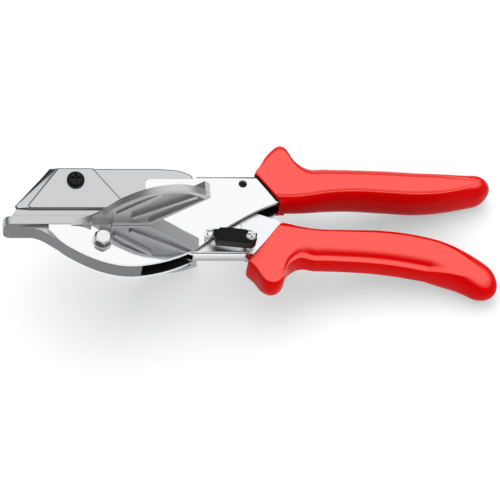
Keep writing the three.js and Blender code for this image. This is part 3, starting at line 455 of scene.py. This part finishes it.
def sleeve(rows, start, reach, axis, rise, height, thickness, outward, mouth, bore, step, groove,
           ridges, close_from):
    """A sleeve as a grid of two parameters, the share of its length and the way round it. A row
    holds a share, then the height of the centre line, the height towards the guard's side and
    the other way, and half the thickness, as shares of rise, height and thickness.
    The section is |a|^2.4 + |b / gain|^2.4 = 1 with b cut off at 1, so its two flat faces end in
    ridges, at the angle where gain * sin(angle)^(2 / 2.4) = 1. This angle is given for the
    guard's side of the near and of the far flat, then for the other side of both. It is drawn
    down to 22 degrees round the guard, where the flats reach almost to the edge, and grows to 88
    degrees from the share close_from to the tip, where they run out in a point.
    Over a flat, d is the distance from the ridge in millimetres. On the guard's side a bead lies
    lower by step up to d = 2, and the skin rises to the flat as step * exp(-((d - 2) / 2.2)^1.4).
    There is a groove of bell shape at d = 1.1, and the skin rolls off within 0.5 of the ridge.
    Where half a flat is narrower than 4.5, these distances shrink with it. The step is a quarter
    up to the share 0.13, whole from 0.25 to 0.74, and gone at 0.94. All of the relief grows
    between the shares 0.02 and 0.06 and fades from close_from to the tip.
    Past the share 0.93 the whole section is drawn in as a quarter ellipse. mouth(y) gives the x
    where the sleeve begins at a height y, and halving finds the share there. Rings turn in round
    the lip and go on into the bore, an oblong of the given centre and halves."""
    power, guard_angle, tip_angle = 2.4, 22, 88
    tip_from, lip, roll, roll_width, bore_depth = 0.93, 0.8, 0.3, 0.5, 3.0
    bead, slope, slope_power, groove_at, groove_half = 2.0, 2.2, 1.4, 1.1, 0.3
    guard_end, guard_fade, narrow_width, bore_power = 0.1, 0.07, 4.5, 0.25
    close_to, close_power = 0.985, 1.5
    ridge_starts, step_grows, step_ends, least_step = (0.02, 0.06), (0.13, 0.25), (0.94, 0.74), 0.25
    mouth_between, halvings, lip_bends = (-0.03, 0.3), 24, np.radians([30, 60, 90])
    ring_count, dense_start, dense_end = 190, 0.9, 1.4
    fine = np.array([0, 0.1, 0.2, 0.3, 0.4, 0.5, 0.65, 0.8, 0.95, 1.1, 1.25, 1.4, 1.7, 2.1, 2.6])
    turn, facing, across, from_ridge, part = round_section(fine)
    on_guard_side, near = across > 0, facing + turn > 0

    def surface(share):
        """The ring at each share of the length, in millimetres from the pivot."""
        form, rate = through(rows, share)
        half = form[..., 3] * thickness
        reach_out = np.where(across >= 0, form[..., 1], form[..., 2]) * height
        lean = np.arctan2(rate[..., 0] * rise, reach)
        guard = on_guard_side * np.exp(-(np.clip(share - guard_end, 0, None) / guard_fade) ** 2)
        ridge = np.where(on_guard_side, np.where(near, ridges[0], ridges[1]),
                         np.where(near, ridges[2], ridges[3]))
        ridge = ridge + (guard_angle - ridge) * guard
        closing = ramp(share, close_from, close_to)
        ridge = np.radians(ridge + (tip_angle - ridge) * closing ** close_power)
        fade = ramp(share, 1, close_from) * ramp(share, *ridge_starts)
        width = reach_out * np.cos(ridge) ** (2 / power)
        scale = np.minimum(1, width / narrow_width)
        d = from_ridge * scale + part * (width - fine[-1] * scale)
        lowered = step * (least_step + (1 - least_step) * ramp(share, *step_grows))
        lowered *= ramp(share, *step_ends) * on_guard_side
        dip = lowered * np.exp(-(np.clip(d - bead, 0, None) / slope) ** slope_power)
        dip += groove * np.exp(-((d - groove_at) / groove_half) ** 2)
        dip += roll * np.clip(1 - d / roll_width, 0, 1) ** 2
        a = np.where(facing != 0, across * (1 - d / width) * np.cos(ridge) ** (2 / power),
                     across * np.cos(turn * ridge) ** (2 / power))
        edge = np.abs(np.sin(turn * ridge) / np.sin(ridge)) ** (2 / power)
        b = np.where(facing != 0, facing * (1 - dip * fade / half),
                     np.sign(turn) * edge * (1 - (roll + lowered) * fade / half))
        drawn = np.sqrt(1 - ramp(share, tip_from, 1) ** 2)
        offset = outward * a * reach_out * drawn
        x = start + share * reach - np.sin(lean) * offset
        y = axis + form[..., 0] * rise + np.cos(lean) * offset
        return np.stack([x, y, b * half * drawn], -1)

    low, high = (np.full(len(turn), share) for share in mouth_between)
    for _ in range(halvings):
        middle = (low + high) / 2
        point = surface(middle)
        within = point[:, 0] > mouth(point[:, 1])
        high, low = np.where(within, middle, high), np.where(within, low, middle)
    lip_share = lip / reach
    along = 1 - (1 - np.linspace(0, 1, ring_count)[:, None] ** dense_start) ** dense_end
    rings = list(surface(high + lip_share + along * (1 - high - lip_share)))
    for bend in lip_bends:
        ring = surface(high + lip_share * (1 - math.sin(bend)))
        outwards = (ring - ring.mean(0)) * (0, 1, 1)
        outwards /= np.linalg.norm(outwards, axis=1)[:, None]
        rings.insert(0, ring - outwards * lip * (1 - math.cos(bend)))
    centre, half_y, half_z = bore
    way = np.arctan2(rings[0][:, 2] / thickness, outward * (rings[0][:, 1] - centre) / height)
    y = centre + outward * half_y * np.sign(np.cos(way)) * np.abs(np.cos(way)) ** bore_power
    z = half_z * np.sign(np.sin(way)) * np.abs(np.sin(way)) ** bore_power
    for deeper in (0, bore_depth):
        rings.insert(0, np.stack([mouth(y) + deeper, y, z], -1))
    rings.insert(0, np.repeat(rings[0].mean(0)[None], len(turn), 0))
    return joined(rings)


def finished(name, points, faces, material, node, slot=None, stands_for=True):
    """A mesh piece from points in millimetres from the pivot, on the body of a CAD node. Its
    attribute flat, the mask for a painted sheen, is 1 where its surface faces squarely along Z or leans a little
    to -Y, and falls to 0 as squarely falls from 0.96 to 0.82."""
    merge_distance, sharp_angle, along_z, along_y = 1e-6, math.radians(30), 0.975, -0.22
    flat_from, flat_full = 0.82, 0.96
    mesh = bpy.data.meshes.new(name)
    mesh.from_pydata((np.array(pivot) + points * mm).tolist(), [], faces)
    work = bmesh.new()
    work.from_mesh(mesh)
    bmesh.ops.remove_doubles(work, verts=work.verts, dist=merge_distance)
    bmesh.ops.recalc_face_normals(work, faces=work.faces)
    work.to_mesh(mesh)
    work.free()
    normals = np.empty(len(mesh.vertices) * 3)
    mesh.vertex_normals.foreach_get("vector", normals)
    normals = normals.reshape(-1, 3)
    squarely = np.abs(normals[:, 2]) * along_z + normals[:, 1] * along_y
    flat = mesh.attributes.new("flat", "FLOAT", "POINT")
    flat.data.foreach_set("value", ramp(squarely, flat_from, flat_full))
    mesh.materials.append(material)
    mesh.shade_smooth()
    mesh.set_sharp_from_angle(angle=sharp_angle)
    attached(name, mesh, node, stands_for)


def upper_mouth(y):
    """The x where the upper grip's slanting mouth lies at a height y."""
    top_x, top_y, slant = 38, 11.9, 0.7
    return top_x + (top_y - y) * slant


# Painted sheen: the grips' flats take a paler coral, a painted reflection of the white tent on the glossy red.
pvc = plastic("dipped_red_pvc", "#ea0606", roughness=0.2, grain_mm=2.0, bump=0.02, index=1.1,
              painted_sheen_colour="#ff625b")
# Each row: share of the length, centre line, guard's side, other side, half the thickness.
upper_rows = np.array([
    (0.00, -0.05, 0.52, 0.69, 0.40), (0.02, -0.03, 0.70, 0.70, 0.40), (0.05, -0.01, 1.10, 0.70, 0.40),
    (0.10, 0.00, 1.52, 0.69, 0.40), (0.145, 0.00, 1.36, 0.69, 0.40), (0.175, 0.01, 1.00, 0.69, 0.41),
    (0.215, 0.02, 0.72, 0.67, 0.43), (0.29, 0.03, 0.64, 0.60, 0.47), (0.40, 0.02, 0.60, 0.54, 0.50),
    (0.55, -0.03, 0.60, 0.56, 0.51), (0.68, -0.08, 0.58, 0.57, 0.51), (0.80, -0.06, 0.52, 0.51, 0.50),
    (0.91, 0.01, 0.43, 0.43, 0.48), (1.00, 0.09, 0.37, 0.36, 0.45)])
points, quads = sleeve(
    upper_rows, start=38, reach=103.9, axis=7, rise=13.2, height=13.2, thickness=20, outward=1,
    mouth=upper_mouth, bore=(5.3, 7.1, 6.8), step=0, groove=0.4, ridges=(54, 54, 46, 54),
    close_from=0.76)
finished("upper_grip_sleeve", points, quads, pvc, "upper_grip")


# Painted shadow: a thin black strip lies on each cheek along the upper grip's mouth, and stands
# in for the shaded gap between the sheet and the sleeve's lip.
def slab(outline, low, high):
    """A flat plate: an outline of places from the pivot, between two heights."""
    points = np.array([(x, y, z) for z in (low, high) for x, y in outline])
    k = np.arange(len(outline))
    after = np.roll(k, -1)
    around = np.stack([k, after, after + len(k), k + len(k)], -1)
    return points, around.tolist() + [k[::-1].tolist(), (k + len(k)).tolist()]


mouth_shadow_paint = plastic("black_painted_mouth_shadow", "#030303", roughness=0.6, grain_mm=0.3, bump=0.05, index=1.3)
line_before, line_under, line_foot, line_top = 1.25, 0.6, -1.2, 11.9
cheek_face, line_lift, line_thick = 6.5, 0.02, 0.1
line = [(upper_mouth(y) + x, y) for x, y in (
    (-line_before, line_foot), (line_under, line_foot), (line_under, line_top), (-line_before, line_top))]
line_low = cheek_face + line_lift
line_high = line_low + line_thick
for name, low, high in (
        ("painted_shadow_line_near", line_low, line_high), ("painted_shadow_line_far", -line_high, -line_low)):
    finished(name, *slab(line, low, high), mouth_shadow_paint, "upper_grip", "black_plastic", stands_for=False)

# Inner channel: the blade lever is pressed from thinner sheet and plated with satin chrome. Its
# web's colour runs from white at the near bend to dark grey at the far bend, a painted highlight and a painted
# shade.
satin = metal("satin_chrome_plate", "#f2f3f4", 0.28, grain_mm=6, grain=0.02, bump=0.004)
# Painted highlight and shade: the web's colour is ramped across its height along Z.
web = metal("chrome_on_web_painted_highlight_and_shade", "#f2f3f4", 0.12)
tree = web.node_tree
where = add(tree, "ShaderNodeTexCoord")
height = add(tree, "ShaderNodeSeparateXYZ", {0: where.outputs["Object"]})
web_half, far_painted_shade, near_painted_highlight = 3.8 * mm, "#88898a", "#ffffff"
across = add(tree, "ShaderNodeMapRange", {
    "Value": height.outputs["Z"], "From Min": pivot.z - web_half, "From Max": pivot.z + web_half})
painted_tone = add(tree, "ShaderNodeMixRGB", {
    0: across.outputs[0], 1: linear(far_painted_shade), 2: linear(near_painted_highlight)})
tree.links.new(painted_tone.outputs[0], tree.nodes["Principled BSDF"].inputs["Base Color"])


def inner_finish(middle, normal):
    """1 for a face of the inside, 2 for the outside of the web, 0 for the rest."""
    squarely = 0.9
    return 1 if faces_inwards(middle, normal) else 2 if normal.y < -squarely else 0


dressed("blade_lever_channel", satin, edge_mm=0.3, others=[inside, web], choose=inner_finish)

# Blade arm: a flat steel plate, ground along its length and lightly polished. Its broken edges,
# and a thin rim beside them, are painted dark, a painted shade. Two rivets, set flush and plated with the channel,
# hold its tail.
along_x = (0.04, 1, 1)
ground = metal("ground_steel_plate", "#cacbcc", 0.22, grain_mm=0.5, grain=0.03, stretch=along_x,
               bump=0.006)
# Painted shade along the broken edges and the rim beside them.
painted_edge_shade = metal("broken_edge_painted_shade", "#4c4d4e", 0.4)
plate_edge, plate_rim = 0.2, 0.45
dressed("blade_arm", ground, plate_edge, edge=painted_edge_shade, rim_mm=plate_rim)
dressed("arm_rivet_1", chrome, edge_mm=0)
dressed("arm_rivet_2", chrome, edge_mm=0)

# Blade: a stock trapezoid blade of hardened strip, ground bright. Two plated pins in the arm
# locate it by its notches.
blade_steel = metal("ground_blade_strip", "#c6c8ca", 0.2, grain_mm=0.25, grain=0.05,
                    stretch=along_x, bump=0.02)
dressed("cutting_blade", blade_steel, edge_mm=0)
dressed("blade_pin_1", plated, fastener_edge)
dressed("blade_pin_2", plated, fastener_edge)

# Clamp plate: ground steel like the arm, with painted dark edges. Its wall towards the edge of the
# blade, which looks to -Y, is less metallic and painted brighter, a painted light. Its
# screw has a pan head with a cross recess, black oxide with oil, so it has a soft gleam.
oxide = plastic("black_oxide_steel", "#0c0c0c", roughness=0.38, grain_mm=0.3, bump=0.05, index=1.4)
wall = metal("clamp_plate_wall_painted_light", "#e2e3e4", 0.5, metallic=0.2)
wall_from = 0.5
dressed("blade_clamp_plate", ground, plate_edge, others=[wall],
        choose=lambda middle, normal: normal.y < -wall_from, edge=painted_edge_shade, rim_mm=plate_rim)
dressed("blade_screw", oxide, fastener_edge)


# Lower grip: the same dip on the blade lever's tail. Its guard's side has shrunk more, so that a
# bead runs along it, lower than the flats.
def lower_mouth(y):
    """The x where the lower grip's mouth lies at a height y: it is upright below a corner and
    slants above it."""
    corner_x, corner_y, slant = 31.7, -31.4, 0.783
    return corner_x + np.maximum(0, y - corner_y) * slant


# Each row holds the same five values as the upper grip's.
lower_rows = np.array([
    (0.00, 0.000, 0.74, 0.60, 0.42), (0.025, 0.000, 0.94, 0.60, 0.42), (0.05, 0.000, 1.26, 0.60, 0.42),
    (0.075, 0.000, 1.40, 0.60, 0.42), (0.10, 0.000, 1.41, 0.67, 0.43), (0.13, -0.005, 1.31, 0.73, 0.44),
    (0.155, -0.01, 1.00, 0.70, 0.45), (0.19, -0.03, 0.63, 0.64, 0.48), (0.28, -0.06, 0.56, 0.55, 0.50),
    (0.40, -0.10, 0.53, 0.58, 0.50), (0.54, -0.15, 0.54, 0.63, 0.50), (0.67, -0.25, 0.55, 0.64, 0.50),
    (0.80, -0.44, 0.51, 0.62, 0.49), (0.90, -0.70, 0.46, 0.55, 0.47), (1.00, -1.06, 0.44, 0.44, 0.44)])
points, quads = sleeve(
    lower_rows, start=32.7, reach=107.7, axis=-20.7, rise=21.6, height=15.4, thickness=17.5, outward=-1,
    mouth=lower_mouth, bore=(-18.8, 7.5, 4.1), step=3.6, groove=0, ridges=(24, 24, 54, 54),
    close_from=0.74)
finished("lower_grip_sleeve", points, quads, pvc, "lower_grip")

# Latch screw and spacer: a plated screw with a cross recess, on which the latch turns, and a
# plated collar that holds the latch off the cheek.
dressed("latch_screw", plated, fastener_edge)
dressed("latch_spacer", plated, fastener_edge)

# Latch hook: a narrow plated steel strip, punched, with its end turned down beside the strike
# pin. It is clamped under the thumb piece.
hook = [(13.5, -20.4), (13.5, -16.8), (13.9, -16.1), (14.6, -15.8), (20.5, -15.9), (24.0, -17.2),
        (30.6, -19.4), (30.6, -23.4), (24.0, -21.5), (19.2, -20.2), (18.5, -16.9), (14.1, -16.9),
        (14.1, -20.4)]
hook_low, hook_high = 7.9, 9.1
finished("latch_hook_strip", *slab(hook, hook_low, hook_high), plated, "latch_hook")

# Latch thumb piece: moulded nylon, satin black, held by the same screw. It is cut away beside the
# screw's head and has a nib over the hook.
nylon = plastic("black_moulded_nylon", "#040404", roughness=0.5, grain_mm=0.4, bump=0.1, index=1.3)
thumb = [(16.6, -20.2), (16.6, -19.0), (18.9, -19.0), (19.3, -18.2), (23.4, -18.2), (31.3, -19.3),
         (32.4, -21.6), (33.6, -22.6), (35.5, -23.3), (34.9, -25.1), (33.1, -26.3), (17.9, -24.7),
         (17.3, -22.5), (18.3, -20.3)]
thumb_low, thumb_high = 9.3, 13.9
finished("latch_thumb_body", *slab(thumb, thumb_low, thumb_high), nylon, "latch_thumb_piece")
